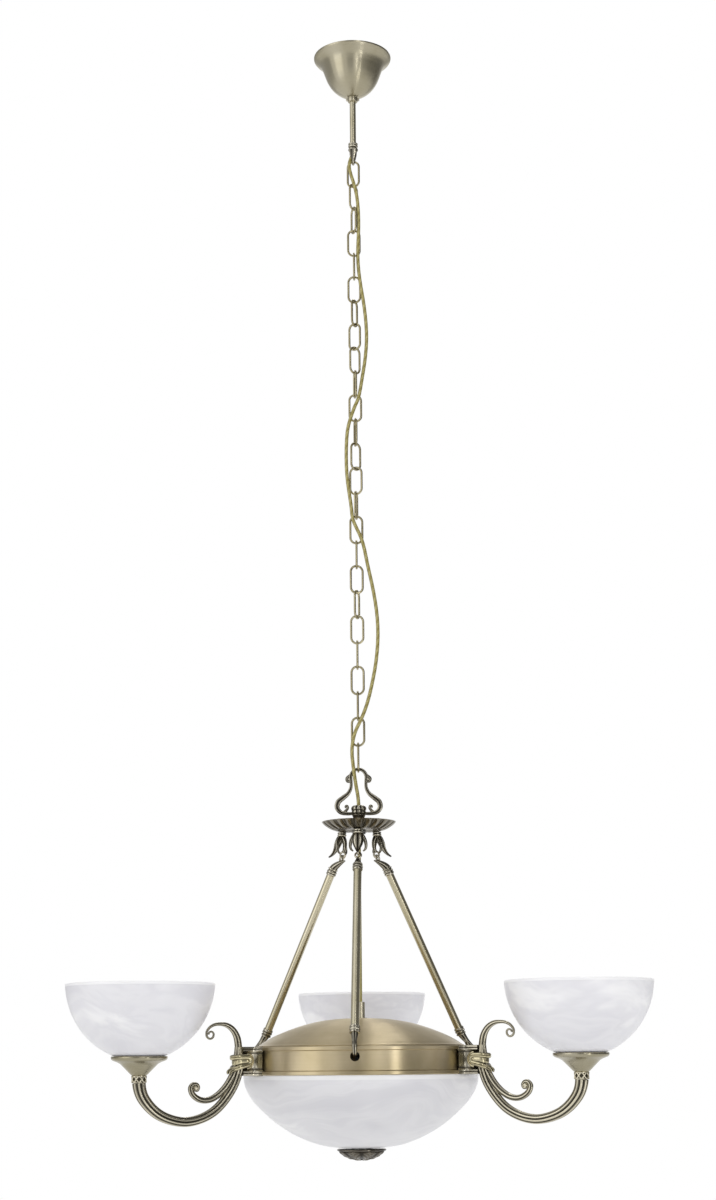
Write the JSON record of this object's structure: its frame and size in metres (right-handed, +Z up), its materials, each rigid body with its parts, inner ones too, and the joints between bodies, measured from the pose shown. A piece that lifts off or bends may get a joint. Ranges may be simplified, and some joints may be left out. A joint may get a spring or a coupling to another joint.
{
  "type": "chandelier",
  "caption": "Hanging chandelier: ceiling canopy, link chain with cord, cast crown, slanted rods to a banded glass bowl, and curled arms that carry upturned glass shades.",
  "frame": {"origin": "on the ceiling, half way between the two slotted screw holes of the ceiling bracket", "axes": "+Z up into the ceiling, +X along the bracket to the viewer's right, -Y towards the viewer"},
  "size_m": [0.6718, 0.6047, 1.4294],
  "materials": {
    "brass": "satin, aged",
    "cast_brass": "cast, dark in the grooves",
    "steel": "zinc plated",
    "plastic": "matt",
    "cord": "translucent gold",
    "lampholder": "satin",
    "alabaster_glass": "satin, faint veils",
    "lamp_glass": "opal"
  },
  "bodies": {
    "ceiling": {"ceiling_bracket": "steel", "earth_screw": "steel", "terminal_block": "plastic", "stem": "brass", "stem_nuts": "steel", "stem_cord": "cord", "stem_end": "cast_brass"},
    "canopy": {"canopy": "brass", "canopy_collar": "brass", "collar_screws": "brass"},
    "top_link": {"chain_link_top": "brass"},
    "chain": {"chain_links": "brass", "cord_upper": "cord", "cord_lower": "cord"},
    "crown": {"crown_loop": "cast_brass", "crown_bud": "cast_brass", "dish": "cast_brass", "crown_nipple": "steel", "hanger_1": "cast_brass", "hanger_2": "cast_brass", "hanger_3": "cast_brass", "hanger_screws": "steel"},
    "rod_1": {"rod_tube_1": "brass", "rod_ends_1": "cast_brass"},
    "rod_2": {"rod_tube_2": "brass", "rod_ends_2": "cast_brass"},
    "rod_3": {"rod_tube_3": "brass", "rod_ends_3": "cast_brass"},
    "lamp_body": {"lower_cable": "cord", "dome": "brass", "entry_tube": "brass", "band": "brass", "bridge": "steel", "centre_rod": "steel", "rod_nuts": "steel", "bracket_1": "cast_brass", "bracket_2": "cast_brass", "bracket_3": "cast_brass", "arm_1": "cast_brass", "arm_2": "cast_brass", "arm_3": "cast_brass", "knot_1": "cast_brass", "knot_2": "cast_brass", "knot_3": "cast_brass", "bracket_screws": "steel", "cup_1": "brass", "cup_2": "brass", "cup_3": "brass", "arm_lampholders": "lampholder", "shade_rings": "lampholder", "shade_1": "alabaster_glass", "shade_2": "alabaster_glass", "shade_3": "alabaster_glass", "arm_bulbs": "lamp_glass", "bowl_lampholders": "lampholder", "bowl_bulbs": "lamp_glass", "lamp_wires": "cord"},
    "bowl": {"bowl": "alabaster_glass", "bowl_washer": "steel"},
    "finial": {"finial": "cast_brass"}
  },
  "joints": [
    {"name": "canopy_slide", "type": "slide", "parent": "ceiling", "child": "canopy", "axis": [0, 0, -1], "range_m": [0, 0.055]},
    {"name": "chain_swing_side", "type": "hinge", "parent": "ceiling", "child": "top_link", "pos_m": [0, 0, -0.1534], "axis": [0, 1, 0], "range_deg": [-8, 8], "deforming": ["cord_upper"]},
    {"name": "chain_swing_front", "type": "hinge", "parent": "top_link", "child": "chain", "pos_m": [0, 0, -0.18575], "axis": [0.9659, -0.2588, 0], "range_deg": [-8, 8], "deforming": ["cord_upper"]},
    {"name": "crown_tilt", "type": "hinge", "parent": "chain", "child": "crown", "pos_m": [0, 0, -0.96455], "axis": [0, 1, 0], "range_deg": [-5, 5], "deforming": ["cord_lower"]},
    {"name": "body_rock", "type": "hinge", "parent": "crown", "child": "lamp_body", "pos_m": [0, 0, -1.01904], "axis": [1, 0, 0], "range_deg": [-3, 3]},
    {"name": "rod_1_pivot", "type": "hinge", "parent": "crown", "child": "rod_1", "pos_m": [-0.00101, -0.02398, -1.0683], "axis": [1, 0, 0], "range_deg": [-3.7, 3.7]},
    {"name": "rod_2_pivot", "type": "hinge", "parent": "crown", "child": "rod_2", "pos_m": [0.02127, 0.01112, -1.0683], "axis": [1, 0, 0], "range_deg": [-3.7, 3.7]},
    {"name": "rod_3_pivot", "type": "hinge", "parent": "crown", "child": "rod_3", "pos_m": [-0.02026, 0.01286, -1.0683], "axis": [1, 0, 0], "range_deg": [-3.7, 3.7]},
    {"name": "bowl_drop", "type": "slide", "parent": "lamp_body", "child": "bowl", "axis": [0, 0, -1], "range_m": [0, 0.004]},
    {"name": "finial_turn", "type": "hinge", "parent": "bowl", "child": "finial", "pos_m": [0, 0, -1.42], "axis": [0, 0, 1], "range_deg": [0, 1440]}
  ],
  "couplings": [
    {"joint": "rod_1_pivot", "follows": "body_rock", "ratio": 1.2069},
    {"joint": "rod_2_pivot", "follows": "body_rock", "ratio": 1.2069},
    {"joint": "rod_3_pivot", "follows": "body_rock", "ratio": 1.2069},
    {"joint": "finial_turn", "follows": "bowl_drop", "rad_per_m": 6283.2}
  ]
}
